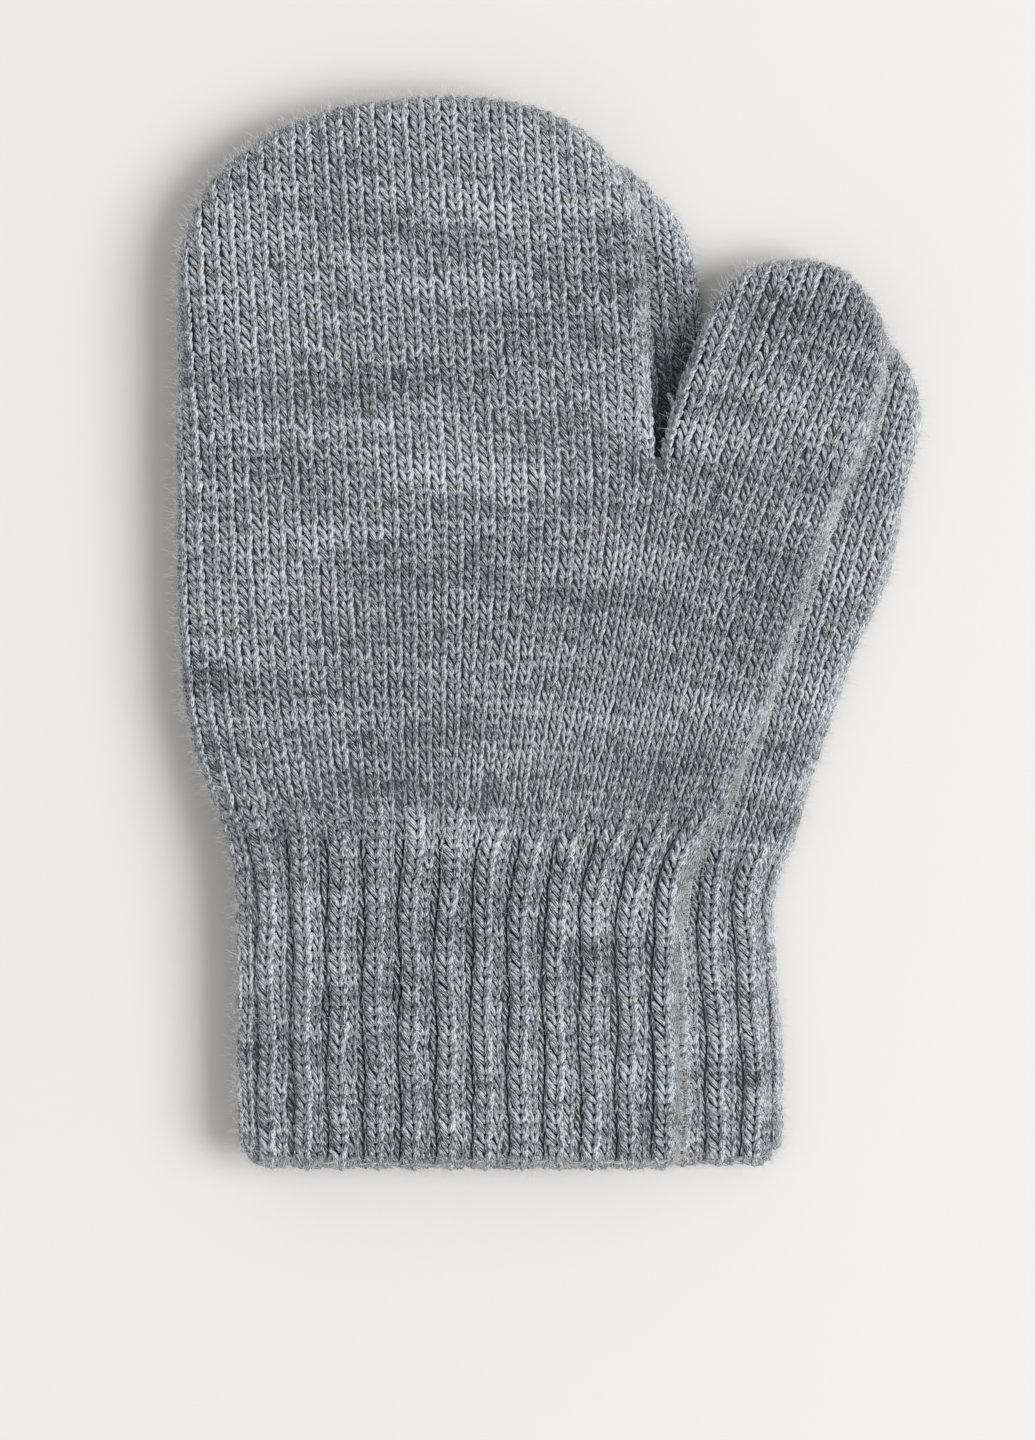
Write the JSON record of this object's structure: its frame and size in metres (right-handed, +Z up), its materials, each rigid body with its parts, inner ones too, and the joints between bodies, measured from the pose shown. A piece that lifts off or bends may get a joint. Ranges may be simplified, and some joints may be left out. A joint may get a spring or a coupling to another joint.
{
  "type": "pair of knitted mittens",
  "caption": "Pair of seamless knitted child's mittens with ribbed cuffs, laid flat one on the other, each a flat knit tube open at the wrist",
  "frame": {"origin": "on the surface that the pair lies on, under the middle of the pair's box", "axes": "+Z up from the surface, +Y from the cuff hems to the finger tips, +X to the thumbs' side"},
  "size_m": [0.1048, 0.151, 0.0117],
  "materials": {
    "plain_knit": "grey marl plain knit, matte",
    "rib_knit": "grey marl rib knit, matte"
  },
  "bodies": {
    "root": {"upper_cuff": "rib_knit", "upper_palm": "plain_knit", "upper_fingers": "plain_knit", "upper_thumb": "plain_knit", "lower_cuff": "rib_knit", "lower_palm": "plain_knit", "lower_fingers": "plain_knit", "lower_thumb": "plain_knit"}
  },
  "joints": []
}
